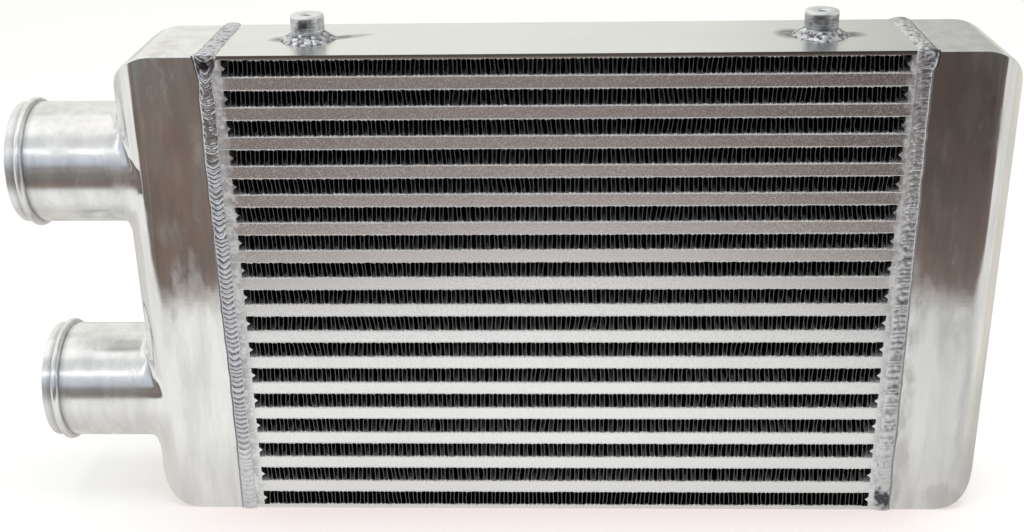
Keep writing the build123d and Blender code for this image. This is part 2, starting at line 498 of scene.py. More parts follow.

# How each bead changes from the foot of the front, over the top and down the back:
# millimetres along it, then width, shift towards the tank, depth and sag of its dimes,
# painted shade between them and painted shadow along its toe on the tank.
LEFT_COURSE = (
    (0, 1.15, 0.2, 0.04, -1.5, 0.2, 0.5),
    (34, 1.08, 0.4, 0.09, -1.5, 0.3, 0.7),
    (50, 1.05, 0.4, 0.5, -1.8, 0.7, 0.8),
    (80, 1.0, 0.6, 0.62, -1.8, 0.9, 0.9),
    (150, 1.05, 0.8, 0.75, -3.0, 0.95, 0.8),
    (180, 1.05, 1.0, 0.85, -3.8, 1.0, 0.3),
    (238, 1.08, 1.2, 0.85, -3.6, 1.0, 0.3),
    (250, 1.12, 1.3, 0.25, -1.5, 0.6, 0.2),
    (284, 1.1, 0.8, 0.24, -3.0, 0.55, 0.3),
    (295, 0.98, 0.6, 0.34, -6.0, 0.6, 0.4),
    (304, 1.35, 0.3, 0.5, -7.0, 0.8, 0.6),
    (TOP + 1, 1.72, 0.2, 0.3, -6.0, 0.5, 0.8),
    (TOP + 12, 1.35, -0.7, 0.22, -1.0, 0.6, 0.8),
    (OVER - 4, 1.3, -0.5, 0.25, -1.0, 0.6, 0.6),
    (OVER + 20, 1.05, 0.3, 0.7, -3.0, 0.9, 0.3),
    (OVER + TOP, 1.05, 0.3, 0.6, -3.0, 0.9, 0.3),
)
RIGHT_COURSE = (
    (0, 1.2, -0.7, 0.05, -0.4, 0.15, 0.6),
    (42, 1.2, -0.8, 0.12, 0.1, 0.25, 0.6),
    (75, 1.2, -0.8, 0.32, 0.6, 0.5, 0.6),
    (110, 1.2, -0.9, 0.45, 1.2, 0.6, 0.5),
    (160, 1.18, -1.0, 0.5, 1.4, 0.6, 0.4),
    (210, 1.12, -0.9, 0.35, 1.8, 0.5, 0.15),
    (285, 1.08, -1.2, 0.35, 2.4, 0.5, 0.1),
    (298, 1.08, -0.9, 0.25, 2.0, 0.4, 0.3),
    (301, 1.32, -0.1, 0.3, 3.0, 0.5, 0.9),
    (306, 1.5, 0.3, 0.2, 3.0, 0.4, 0.9),
    (TOP + 3, 1.46, 0.3, 0.15, 2.0, 0.4, 0.9),
    (TOP + 9, 1.2, 0.2, 0.18, 1.0, 0.5, 1.0),
    (OVER - 12, 1.25, 0.0, 0.18, 1.0, 0.45, 0.9),
    (OVER, 1.5, -0.4, 0.2, 1.0, 0.6, 0.3),
    (OVER + 20, 1.2, -0.6, 0.35, 1.0, 0.6, 0.3),
    (OVER + TOP, 1.2, -0.6, 0.35, 1.0, 0.6, 0.3),
)
LEFT_BEAD = SimpleNamespace(
    name="left", side=-1, seed=41, course=LEFT_COURSE,
    pitch=3.5,  # from one dime to the next
    slant=0.0,  # of the dimes, across the bead
    drift=(18, 1.1),  # how slowly and how far the dimes' spacing wanders
    uneven=0.1,  # how much one dime's depth differs from the next
    fade=0.12,  # share of the half width over which the dimes fade towards the edge
    squareness=2.4,  # of the cross-section
    soft_core_side=False,  # whether it runs out softly onto the core
    lumps=0.05,  # height of its lumps
    upper_lumps=0.065,  # and how much higher they are on the upper front
    pit=0.8,  # depth of the hollow at its top corner, and of the painted shade in it
    burn=0.0,  # strength of a burnt patch at its foot
)
RIGHT_BEAD = SimpleNamespace(
    name="right", side=1, seed=42, course=RIGHT_COURSE, pitch=4.1, slant=0.8, drift=(13, 2.6),
    uneven=0.45, fade=0.35, squareness=3.4, soft_core_side=True, lumps=0.11, upper_lumps=0.0,
    pit=0.0, burn=1.4,
)
UPPER_FRONT = 276.0  # height of the left bead's lumpiest stretch
TOP_LUMPS, CORNER_LUMPS = 0.17, 0.15  # how much higher lumps are over the top and its corner
LUMP_LIMIT = 0.35
DIME_EDGE = 0.92  # share of the half width where the dimes end
BURN_HEIGHT, BURN_SIZE = 9.0, 6.0
PIT_BELOW, PIT_SIZE = 5.5, 3.6  # the pit's middle, below the top
BEAD_ROOT = 0.8  # how deep a bead reaches into the cooler


def bead_path():
    """Points up the front, over the top and down the back, along the foot of a bead.
    Each row is y, z and the outward direction's y and z."""
    rise = np.arange(0, TOP, BEAD_STEP)
    turn = np.radians(np.linspace(0, 90, 6))
    path = [(-HALF_DEPTH, z, -1.0, 0.0) for z in rise]
    path += [(-HALF_DEPTH, TOP, -math.cos(a), math.sin(a)) for a in turn]
    path += [(y, TOP, 0.0, 1.0) for y in np.arange(-HALF_DEPTH + BEAD_STEP, HALF_DEPTH, BEAD_STEP)]
    path += [(HALF_DEPTH, TOP, math.sin(a), math.cos(a)) for a in turn]
    path += [(HALF_DEPTH, z, 1.0, 0.0) for z in rise[::-1]]
    return np.array(path)


def ripple(along, across, pitch, sag):
    """Height of the dimes from 0 to 1. Each one swells and ends in a steep edge."""
    phase = (along + sag * np.abs(across) ** 1.6) / pitch
    part = phase - np.floor(phase)
    falling = 1 - (part - DIME_SWELL) / (1 - DIME_SWELL)
    return np.where(part < DIME_SWELL, np.sin(part / DIME_SWELL * math.pi / 2), falling)


def bead_lumps(noise, count, across):
    """Soft random lumps, one row for each step along a bead."""
    knots = noise.normal(0, 1, (count // LUMP_STEPS + 2, LUMP_PLACES))
    rows = np.minimum(np.arange(count) / LUMP_STEPS, count // LUMP_STEPS)
    whole = rows.astype(int)
    part = (rows - whole)[:, None]
    between = knots[whole] * (1 - part) + knots[whole + 1] * part
    places = np.linspace(-1, 1, LUMP_PLACES)
    return np.array([np.interp(across, places, row) for row in between])


def bead_section(style, along, across):
    """Height of a bead's cross-section. It is rounder at the top corner."""
    flat = np.maximum(1 - np.abs(across) ** style.squareness, 0) ** 0.5
    if style.soft_core_side:
        flat = np.where(across < 0, np.maximum(1 - across ** 2, 0) ** 1.5, flat)
    round_top = np.maximum(1 - across ** 2, 0) ** 0.7
    knob = bump_at(along, TOP, 9.0)
    return flat * (1 - knob) + round_top * knob


def tank_weld(style, material):
    """The bead over one joint. Rows run along it, columns from the core to the tank."""
    noise = np.random.default_rng(style.seed)
    low, high = corners(f"tank_weld_{style.name}")
    half_width = (high[0] - low[0]) / 2
    crown = high[2] - TOP
    y, z, out_y, out_z = bead_path().T[:, :, None]
    count = len(y)
    along = np.arange(count)[:, None] * BEAD_STEP
    across = np.linspace(-1, 1, 23)
    table = np.array(style.course).T
    # The last two columns give the painted shade between the dimes and the painted shadow along the
    # toe.
    widen, shift, depth, sag, dirt_and_shade, toe = (np.interp(along, table[0], values) for values in table[1:])

    def drawn(every, size):
        return wander(noise, count, every, size)[:, None]

    drift = drawn(*style.drift)
    widen = widen * (1 + drawn(14, 0.035))
    shift = shift + drawn(60, 0.15)
    swell = 1 - np.abs(drawn(26, 0.15))
    depth = depth * (1 - np.abs(drawn(20, 0.35)))
    depth = depth * (1 - np.abs(drawn(4, style.uneven)))
    grain = noise.normal(0, 0.02, (count, len(across)))
    lumps = bead_lumps(noise, count, across)
    on_top = np.clip(1 - np.abs(along - TOP - HALF_DEPTH) / HALF_DEPTH, 0, 0.35) / 0.35
    lumpy = style.lumps + TOP_LUMPS * on_top + CORNER_LUMPS * bump_at(along, TOP, 12.0)
    lumpy = lumpy + style.upper_lumps * bump_at(along, UPPER_FRONT, 26.0)
    inside = np.clip((DIME_EDGE - np.abs(across)) / style.fade, 0, 1)
    hollows = 1 - ripple(along + drift - style.slant * across, across, style.pitch, sag)
    pit = style.pit * bump_at(np.hypot(across * 3.6, along - TOP + PIT_BELOW), 0, PIT_SIZE)
    bumps = np.clip(lumpy * lumps, -LUMP_LIMIT, LUMP_LIMIT)
    body = swell * (1 - inside * depth * hollows - pit) + grain + bumps
    blob = 1 + 0.3 * bump_at(along, TOP + 2.0, 9.0) * out_z
    height = crown * blob * np.clip(bead_section(style, along, across) * body, 0, 1)
    x = JOINT + shift + across * half_width * widen * (1 - 0.06 * depth * hollows)
    above = along - BURN_HEIGHT
    burn = bump_at(np.hypot(across * 4.6 + above * 0.9, above) + 2.0 * lumps, 0, BURN_SIZE)
    # Painted shade in the dimes' hollows, in the pit and in the lumps' dips, plus the burn mark at
    # the foot.
    shade_and_burn = inside * dirt_and_shade * hollows ** 1.5 + pit * 1.1 + style.burn * burn - 2.2 * np.minimum(bumps, 0)

    edge = x[:, -1:]
    one = np.ones_like(edge)
    x = np.hstack([x, edge + 0.05, edge + TOE_LINE, edge + TOE_LINE, x[:, :1]])
    height = np.hstack([height, 0.12 * one, 0.05 * one, -BEAD_ROOT * one, -BEAD_ROOT * one])
    # The strip beside the toe carries the painted shadow along the bead's toe on the tank.
    shade_and_burn = np.hstack([shade_and_burn, toe, toe, 0 * one, 0 * one])
    points = np.stack([style.side * x, y + out_y * height, z + out_z * height], -1)
    columns = x.shape[1]
    faces = quads(count, columns, wrap=True) + end_caps(count, columns)
    bead = mesh_object(f"tank_bead_{style.name}", points, faces)
    add_shade_and_grime(bead, shade_and_burn)
    dress(bead, material, [f"tank_weld_{style.name}"], 60)


# === bosses

BOSS_SIDES = 72
TOOL_STEP, TOOL_DEPTH = 0.45, 0.07  # the turning tool's marks
THREAD_PITCH = 1.25
THREAD_HEIGHT = 0.6


def boss(name, seed, material):
    """A turned boss with its tapped hole. Its profile runs up outside and down the hole."""
    low, high = corners(f"boss_{name}")
    radius = (high[0] - low[0]) / 2
    centre = (low[0] + high[0]) / 2
    tip = high[2]
    noise = np.random.default_rng(seed)
    profile = [(low[2], radius)]
    for z in np.arange(low[2] + 1.0, tip - 1.2, TOOL_STEP):
        profile.append((z, radius - abs(noise.normal(0, TOOL_DEPTH))))
    profile += [(tip - 0.9, radius), (tip - 0.35, radius - 0.25), (tip, radius - 0.8)]
    profile += [(tip, THREAD_RADIUS + 1.1), (tip - 0.1, THREAD_RADIUS + 0.75)]
    for turn in range(int(THREAD_DEPTH / THREAD_PITCH) - 1):
        z = tip - 0.6 - turn * THREAD_PITCH
        profile += [(z, THREAD_RADIUS + THREAD_HEIGHT), (z - THREAD_PITCH / 2, THREAD_RADIUS + 0.02)]
    floor = tip - THREAD_DEPTH
    profile += [(floor, THREAD_RADIUS), (floor - THREAD_RADIUS * 0.6, 0.01)]
    body = lathe(f"turned_boss_{name}", profile, BOSS_SIDES, lambda z, y, x: (centre + x, y, z))
    dress(body, material, [f"boss_{name}"], 35)


FILLET_SIDES, FILLET_RINGS = 220, 22
FILLET_LUMPS = 210
FILLET_OVERLAP = 0.6  # how far a fillet runs into its boss
FILLET_ROOT = 0.4  # and into the plate


def boss_weld(name, seed, material):
    """The lumpy fillet round a boss."""
    low, high = corners(f"boss_weld_{name}")
    boss_low, boss_high = corners(f"boss_{name}")
    centre = (low[0] + high[0]) / 2
    outer = (high[0] - low[0]) / 2
    inner = (boss_high[0] - boss_low[0]) / 2 - FILLET_OVERLAP
    height = high[2] - low[2]
    noise = np.random.default_rng(seed)
    turn = np.linspace(0, 2 * math.pi, FILLET_SIDES, endpoint=False)
    share = np.linspace(0, 1, FILLET_RINGS)[:, None]
    waves = np.zeros(FILLET_SIDES)
    for n in range(2, 9):
        waves += noise.normal(0, 0.8 / n) * np.cos(n * turn + noise.uniform(0, 6.3))
    reach = outer - 0.5 - 0.9 * np.abs(waves)
    lumps = np.zeros((FILLET_RINGS, FILLET_SIDES))
    stain = np.zeros_like(lumps)
    for _ in range(FILLET_LUMPS):
        at = noise.uniform(0, 2 * math.pi)
        out = noise.uniform(0.05, 0.97)
        size = noise.uniform(0.9, 1.9)
        gap = np.abs((turn - at + math.pi) % (2 * math.pi) - math.pi) * (inner + outer) / 2
        far = np.hypot(gap, (share - out) * (outer - inner)) / size
        lump = np.sqrt(np.maximum(1 - far ** 2, 0)) * size * 0.55
        stain = np.where(lump > lumps, noise.uniform(-0.3, 0.75), stain)
        lumps = np.maximum(lumps, lump)
    body = (height - 1.3) * (1 - share) ** 1.25
    rise = np.minimum(body + lumps * np.sin(math.pi * np.clip(share, 0.12, 1)) ** 0.5, height)
    radius = inner + (reach - inner) * share
    radius = np.vstack([radius, reach, np.full(FILLET_SIDES, inner)])
    rise = np.vstack([rise, np.full((2, FILLET_SIDES), -FILLET_ROOT)])
    grid = [centre + radius * np.cos(turn), radius * np.sin(turn), low[2] + rise]
    faces = quads(FILLET_RINGS + 3, FILLET_SIDES, wrap=True)
    faces = [tuple(i % radius.size for i in face) for face in faces]
    ring = mesh_object(f"boss_fillet_{name}", np.stack(grid, -1), faces)
    # Painted shade between the lumps, plus random stains on some lumps.
    hollow = np.clip(1 - lumps / 0.6, 0, 1) * 0.9 + np.clip(stain, 0, 1)
    add_shade_and_grime(ring, np.vstack([hollow, np.zeros((2, FILLET_SIDES))]))
    dress(ring, material, [f"boss_weld_{name}"], 60)


# === materials

class Nodes:
    """Short way to build a material's or the world's node tree."""

    def __init__(self, tree):
        self.tree = tree
        tree.nodes.clear()

    def put(self, value, socket):
        """Links a socket or a node's first output, or sets a number or a colour."""
        if isinstance(value, bpy.types.Node):
            value = value.outputs[0]
        if isinstance(value, bpy.types.NodeSocket):
            self.tree.links.new(value, socket)
        elif socket.type == "RGBA":
            socket.default_value = (*value, 1)
        else:
            socket.default_value = value

    def fill(self, node, *values):
        """Puts values into a node's sockets in order, and returns what the node gives."""
        for socket, value in zip(node.inputs, values):
            self.put(value, socket)
        return node.outputs[0]

    def add(self, kind, **values):
        """A node. Values set its sockets by name, or its own properties."""
        node = self.tree.nodes.new("ShaderNode" + kind)
        for name, value in values.items():
            socket = node.inputs.get(name.replace("_", " ")) if name[0].isupper() else None
            if socket is None:
                setattr(node, name, value)
            else:
                self.put(value, socket)
        return node

    def maths(self, operation, *values):
        return self.fill(self.add("Math", operation=operation), *values)

    times = partialmethod(maths, "MULTIPLY")
    plus = partialmethod(maths, "ADD")
    minus = partialmethod(maths, "SUBTRACT")
    over = partialmethod(maths, "DIVIDE")
    scaled = partialmethod(maths, "MULTIPLY_ADD")  # value * factor + added
    size = partialmethod(maths, "ABSOLUTE")
    lower = partialmethod(maths, "MINIMUM")
    higher = partialmethod(maths, "MAXIMUM")

    def squares(self, value, other):
        """value * value + other * other."""
        return self.plus(self.times(value, value), self.times(other, other))

    def split(self, vector):
        return self.add("SeparateXYZ", Vector=vector).outputs

    def noise(self, vector, scale, detail=2.0, rough=0.5):
        """Noise. A scale for each axis stretches it."""
        if isinstance(scale, tuple):
            stretch = self.add("VectorMath", operation="MULTIPLY")
            vector, scale = self.fill(stretch, vector, scale), 1.0
        node = self.add("TexNoise", Vector=vector, Scale=scale, Detail=detail, Roughness=rough)
        return node.outputs[0]

    def ramp(self, value, *stops):
        """A colour ramp. Each stop is a place and a grey or a colour."""
        node = self.add("ValToRGB", Fac=value)
        ramp = node.color_ramp
        while len(ramp.elements) < len(stops):
            ramp.elements.new(0.5)
        for element, (place, colour) in zip(ramp.elements, stops):
            element.position = place
            element.color = (*colour, 1) if isinstance(colour, tuple) else (colour,) * 3 + (1,)
        return node.outputs[0]

    def mix(self, factor, low, high, kind="MIX"):
        """A colour between low and high."""
        node = self.add("Mix", data_type="RGBA", blend_type=kind)
        for index, value in ((0, factor), (6, low), (7, high)):
            self.put(value, node.inputs[index])
        return node.outputs[2]

    def multiplied(self, colour, other):
        return self.mix(1.0, colour, other, "MULTIPLY")

    def switch(self, factor, off, on):
        """The shader on where factor is 1, and off where it is 0."""
        return self.fill(self.add("MixShader"), factor, off, on)


def tree_of(data):
    """A material's or the world's empty node tree."""
    data.use_nodes = True
    return Nodes(data.node_tree)


def darker(colour, share):
    return tuple(share * c for c in colour)


def metal(name, base, roughness, build):
    """A metal finish. build(nodes, place, base, roughness) returns its colour, its
    roughness, and its bump as (height, distance, strength) or None."""
    material = bpy.data.materials.new(name)
    nodes = tree_of(material)
    place = nodes.add("TexCoord").outputs["Object"]
    colour, rough, bump = build(nodes, place, base, roughness)
    shader = nodes.add("BsdfPrincipled", Metallic=1.0, Base_Color=colour, Roughness=rough)
    if bump is not None:
        height, distance, strength = bump
        node = nodes.add("Bump", Strength=strength, Distance=distance, Height=height)
        nodes.put(node, shader.inputs["Normal"])
    nodes.add("OutputMaterial", Surface=shader)
    return material


def spot(nodes, place, centre, half_width, half_height):
    """1 in the middle of a ragged spot on the front, falling to 0 at its edge."""
    x, y, z = nodes.split(place)
    ragged = nodes.noise(place, (110.0, 110.0, 45.0), 3.0, 0.6)
    away_x = nodes.scaled(x, 1 / (half_width * MM), -centre[0] / half_width)
    away_z = nodes.scaled(z, 1 / (half_height * MM), -centre[1] / half_height)
    level = nodes.minus(nodes.scaled(ragged, 5.0, -1.5), nodes.squares(away_x, away_z))
    in_front = nodes.maths("LESS_THAN", y, 0.0)
    return nodes.times(nodes.ramp(level, (0, 0), (1, 1)), in_front)


# Dull smears on the tanks' fronts, and one painted shadow: centre, half width, half height (mm), how
# dull, how light.
SMEARS_AND_SHADE = (
    ((-239.0, 297.0), 10.0, 26.0, 0.9, 0.78),
    ((-246.0, 252.0), 6.0, 30.0, 0.5, 0.78),
    ((-224.0, 232.0), 5.0, 34.0, 0.5, 0.78),
    ((238.0, 262.0), 9.0, 44.0, 0.3, 0.78),
    ((226.0, 208.0), 7.0, 30.0, 0.4, 0.78),
    # A painted shadow on the tank beside the right weld, not a smear.
    ((218.0, 70.0), 5.5, 90.0, 0.55, 0.52),
    ((250.0, 8.0), 14.0, 12.0, 0.35, 0.5),
)
SMEAR_AND_SHADE_COLOUR = (1.02, 1.0, 0.95)
HAZE_COLOUR = (0.86, 0.75, 0.69)
GROOVE_SHADE_COLOUR = (0.3, 0.32, 0.35)


def polished(nodes, place, base, roughness):
    """Hand-polished casting: smears, brown haze, fine scratches, soft dents, painted shade in
    the grooves beside the stubs' beads, and a painted shadow on the tank beside the right weld."""
    x = nodes.split(place)[0]
    smear = nodes.noise(place, (85.0, 85.0, 13.0), 4.0, 0.6)
    haze = nodes.noise(place, (32.0, 32.0, 12.0), 3.0, 0.6)
    streak = nodes.ramp(smear, (0.4, 0), (0.62, 1))
    stained = nodes.ramp(haze, (0.42, 0), (0.6, 1))
    tone = nodes.mix(nodes.times(streak, 0.42), base, darker(base, 0.66))
    tone = nodes.mix(nodes.times(stained, 0.1), tone, HAZE_COLOUR)
    # Painted shade on the flanks of the stubs' beads and in the grooves beside them.
    from_bead = nodes.size(nodes.plus(x, (STUB_END - BEAD_SETBACK) * MM))
    groove_shade = nodes.ramp(
        nodes.times(from_bead, 100.0), (0.18, 0), (0.29, 0.75), (0.36, 0.55), (0.62, 0)
    )
    tone = nodes.mix(nodes.times(groove_shade, nodes.plus(smear, 0.35)), tone, GROOVE_SHADE_COLOUR)
    patches = nodes.noise(place, (46.0, 46.0, 17.0), 4.0, 0.6)
    worn = nodes.ramp(patches, (0.48, 0), (0.74, 1))
    for centre, half_width, half_height, dull, light in SMEARS_AND_SHADE:
        smear_and_shade = nodes.times(spot(nodes, place, centre, half_width, half_height), dull)
        tone = nodes.mix(smear_and_shade, tone, darker(SMEAR_AND_SHADE_COLOUR, light))
        worn = nodes.higher(worn, smear_and_shade)
    end = TANK_END * MM
    on_stub = nodes.ramp(nodes.times(x, -1.0), (end - 0.008, 0.0), (end + 0.004, 1.0))
    scratch = nodes.noise(place, (1500.0, 1500.0, 60.0))
    crossed = nodes.noise(place, (60.0, 60.0, 1300.0))
    dents = nodes.noise(place, (40.0, 40.0, 13.0), 3.0)
    rough = nodes.scaled(on_stub, 0.13, nodes.scaled(worn, 0.3, roughness - 0.04))
    rough = nodes.scaled(scratch, 0.05, rough)
    height = nodes.scaled(nodes.plus(scratch, crossed), 0.012, dents)
    return tone, rough, (height, 0.0012, 0.35)


def satin(nodes, place, base, roughness):
    """Rolled stock: fine lengthwise grain with faint blotches."""
    grain = nodes.noise(place, (60.0, 1100.0, 1100.0), 3.0, 0.7)
    blotch = nodes.noise(place, (14.0, 40.0, 40.0), 4.0)
    tone = nodes.mix(nodes.times(blotch, 0.3), base, darker(base, 0.72))
    rough = nodes.scaled(grain, 0.14, roughness - 0.07)
    return tone, rough, (grain, 0.00008, 0.5)


# Soot at the bosses' welds: boss, how far across and back, half width, half depth (mm), slant.
SOOT = (
    ("boss_left", -14.0, 0.0, 12.0, 9.0, 0.0),
    ("boss_left", 17.0, 3.0, 24.0, 6.5, 0.35),
    ("boss_right", -17.0, 4.0, 12.0, 15.0, 0.0),
    ("boss_right", 17.0, 1.0, 12.0, 9.0, 0.0),
)
SOOT_COLOUR = (0.15, 0.14, 0.135)
PLATE_EDGE_SHADE_COLOUR = (0.36, 0.375, 0.385)
PLATE_EDGE = 2.6  # height of the plate's front edge


def top_plate(nodes, place, base, roughness):
    """Satin plate with painted shade on its front and back edge, and soot round the bosses' welds."""
    tone, rough, bump = satin(nodes, place, base, roughness)
    x, y, z = nodes.split(place)
    # Painted shade on the plate's front and back edge faces.
    below = nodes.over(nodes.minus(TOP * MM, z), PLATE_EDGE * MM)
    edge_shade = nodes.ramp(below, (0, 0), (0.12, 1), (0.6, 1), (0.75, 0))
    edge = nodes.maths("GREATER_THAN", nodes.size(y), (HALF_DEPTH - 0.02) * MM)
    tone = nodes.mix(nodes.times(edge_shade, edge), tone, PLATE_EDGE_SHADE_COLOUR)
    cloud = nodes.noise(place, (130.0, 300.0, 90.0), 4.0, 0.6)
    for boss_name, across, back, half_width, half_depth, slant in SOOT:
        low, high = corners(boss_name)
        along = nodes.minus(x, ((low[0] + high[0]) / 2 + across) * MM)
        aside = nodes.minus(nodes.scaled(along, -slant, y), back * MM)
        near_x = nodes.over(along, half_width * MM)
        near_y = nodes.over(aside, half_depth * MM)
        shade = nodes.times(nodes.minus(1.0, nodes.squares(near_x, near_y)), cloud)
        sooty = nodes.ramp(shade, (0, 0), (0.2, 0.3), (0.44, 0.95))
        tone = nodes.mix(sooty, tone, SOOT_COLOUR)
    return tone, rough, bump


def brazed(nodes, place, base, roughness):
    """Brazed bar: speckled skin, frosted white near the tank welds."""
    x = nodes.split(place)[0]
    grain = nodes.noise(place, 1450.0, 1.0)
    speck = nodes.ramp(grain, (0.5, 0), (0.66, 1))
    blotch = nodes.noise(place, 30.0, 4.0)
    mottle = nodes.noise(place, 220.0, 3.0, 0.65)
    heat = nodes.plus(nodes.size(x), nodes.times(blotch, 0.008))
    heat = nodes.scaled(mottle, 0.012, heat)
    heated = nodes.ramp(nodes.scaled(heat, 100.0, -20.6), (0, 0), (0.75, 1))
    tone = nodes.mix(nodes.times(blotch, 0.25), base, darker(base, 0.75))
    tone = nodes.mix(nodes.times(speck, 0.25), tone, (1.0, 0.99, 0.97))
    frost = nodes.ramp(mottle, (0.4, 0), (0.58, 1))
    tone = nodes.mix(heated, tone, nodes.mix(frost, (0.66, 0.67, 0.66), (1.0, 1.0, 1.0)))
    rough = nodes.scaled(speck, 0.16, roughness - 0.04)
    rough = nodes.higher(rough, nodes.times(heated, 0.62))
    return tone, rough, (grain, 0.00008, 0.3)


def welded(nodes, place, base, roughness):
    """Weld metal: bright and cool, frosted in patches, with painted shade between its dimes, in its
    hollows and along its toes, and dark burns and stains.
    """
    frost = nodes.noise(place, 160.0, 3.0)
    grime = nodes.add("Attribute", attribute_name="grime").outputs["Fac"]
    tone = nodes.mix(frost, darker(base, 0.8), base)
    # Painted shade in the hollows and along the toes, with the burn marks and stains, darkens the
    # metal here.
    tone = nodes.mix(grime, tone, (0.105, 0.105, 0.12))
    rough = nodes.scaled(frost, 0.24, roughness - 0.12)
    return tone, rough, (nodes.noise(place, 900.0), 0.0002, 0.5)


def turned(nodes, place, base, roughness):
    """Turned bar: rings, dark smudges from welding and a bright rim."""
    rings = nodes.noise(place, (30.0, 30.0, 1300.0))
    smudge = nodes.noise(place, 130.0, 3.0, 0.6)
    tone = nodes.mix(nodes.ramp(rings, (0.42, 0.75), (0.6, 0)), base, darker(base, 0.45))
    tone = nodes.mix(nodes.ramp(smudge, (0.46, 0), (0.62, 1)), tone, darker(base, 0.3))
    tip = corners("boss_left")[1][2]
    below = nodes.minus(tip * MM, nodes.split(place)[2])
    rim = nodes.ramp(nodes.times(below, 100.0), (0.12, 1), (0.2, 0))
    tone = nodes.mix(rim, tone, (0.88, 0.89, 0.88))
    rough = nodes.scaled(rings, 0.3, roughness - 0.12)
    return tone, nodes.higher(rough, nodes.times(rim, 0.45)), (rings, 0.0003, 0.5)


def scorched(nodes, place, base, roughness):
    """Turned bar with one dark scorch on its front."""
    tone, rough, bump = turned(nodes, place, base, roughness)
    low, high = corners("boss_left")
    scorch = spot(nodes, place, ((low[0] + high[0]) / 2 - 0.5, high[2] - 6.0), 4.0, 4.5)
    return nodes.mix(scorch, tone, (0.1, 0.1, 0.11)), rough, bump


SHADE_START, SHADE_DEPTH = 28.0, 10.5  # where the painted shade on the fins' walls gives way and they grow lighter


def foil(nodes, place, base, roughness):
    """Dark foil with painted shade that darkens its walls deeper inside the core, and bare cut edges
    at the front and back.
    """
    normal = nodes.add("NewGeometry").outputs["Normal"]
    edge = nodes.ramp(nodes.size(nodes.split(normal)[1]), (0.85, 0), (0.95, 1))
    # Painted shade: the walls are darkest deep in the core and lighter towards its front and back.
    depth = nodes.size(nodes.split(place)[1])
    out_of_shade = nodes.over(nodes.minus(depth, SHADE_START * MM), SHADE_DEPTH * MM)
    side = nodes.ramp(out_of_shade, (0, 0.04), (1, 0.14))
    dirt_and_shade = nodes.noise(place, 300.0)
    bare = nodes.mix(dirt_and_shade, darker(base, 0.45), base)
    return nodes.mix(edge, side, bare), nodes.scaled(dirt_and_shade, 0.2, roughness - 0.1), None


# === the stage

CAMERA_PLACE = (-1.4, -834.3, 516.4)  # millimetres
CAMERA_LENS = 49.21  # on a 36 mm frame
CAMERA_TURN = 0.0382  # radians
CAMERA_TILT = 0.4042
CAMERA_ROLL = -0.0175


def make_camera():
    data = bpy.data.cameras.new("camera")
    data.sensor_width = 36.0
    data.lens = CAMERA_LENS
    data.clip_end = 50.0
    camera = bpy.data.objects.new("camera", data)
    scene.collection.objects.link(camera)
    place = Matrix.Translation([c * MM for c in CAMERA_PLACE])
    level = Matrix.Rotation(math.pi / 2, 4, "X")
    turn = Matrix.Rotation(CAMERA_TURN, 4, "Y")
    tilt = Matrix.Rotation(-CAMERA_TILT, 4, "X")
    roll = Matrix.Rotation(CAMERA_ROLL, 4, "Z")
    camera.matrix_world = place @ level @ turn @ tilt @ roll
    scene.camera = camera


WHITE = (1.0, 1.0, 1.0)
FRONT_ROOM = (0.19, 0.17, 0.158)  # the dark room in front, as metal sees it
# What metal sees from straight behind (0) over the top (0.5) to straight in front (1).
STUDIO = (
    (0, (0.86, 0.86, 0.83)),
    (0.3, (0.84, 0.84, 0.8)),
    (0.335, (0.7, 0.72, 0.71)),
    (0.36, WHITE),
    (0.6, (1.05, 1.05, 1.05)),
    (0.64, (0.68, 0.7, 0.71)),
    (0.775, (0.66, 0.68, 0.71)),
    (0.785, (1.9, 1.9, 1.9)),
    (0.808, (1.9, 1.9, 1.9)),
    (0.818, (0.62, 0.66, 0.72)),
    (0.935, (0.52, 0.57, 0.64)),
    (0.965, FRONT_ROOM),
    (1, FRONT_ROOM),
)
# How bright that is from the left (0) to the right (1).
SIDE_LIGHT = ((0.3, 1.08), (0.5, 1), (0.55, 0.98), (0.62, 0.66), (0.72, 0.55), (0.95, 0.9))
PLAIN_LIGHT = 0.75  # strength of the world as a light


def make_world():
    """Plain white light, but metal sees the studio."""
    world = bpy.data.worlds.new("studio")
    scene.world = world
    nodes = tree_of(world)
    path = nodes.add("LightPath").outputs
    x, y, z = nodes.split(nodes.add("TexCoord").outputs["Generated"])
    share = nodes.over(nodes.maths("ARCTAN2", z, y), math.pi)
    slope = nodes.ramp(share, *STUDIO)
    side = nodes.ramp(nodes.scaled(x, 0.5, 0.5), *SIDE_LIGHT)
    studio = nodes.multiplied(slope, side)
    plain = nodes.add("Background", Color=WHITE, Strength=PLAIN_LIGHT)
    seen = nodes.add("Background", Color=WHITE, Strength=1.0)
    glossy = nodes.add("Background", Color=studio, Strength=1.0)
    shader = nodes.switch(path["Is Glossy Ray"], plain, glossy)
    looked_at = nodes.plus(path["Is Camera Ray"], path["Is Transmission Ray"])
    nodes.add("OutputWorld", Surface=nodes.switch(looked_at, shader, seen))


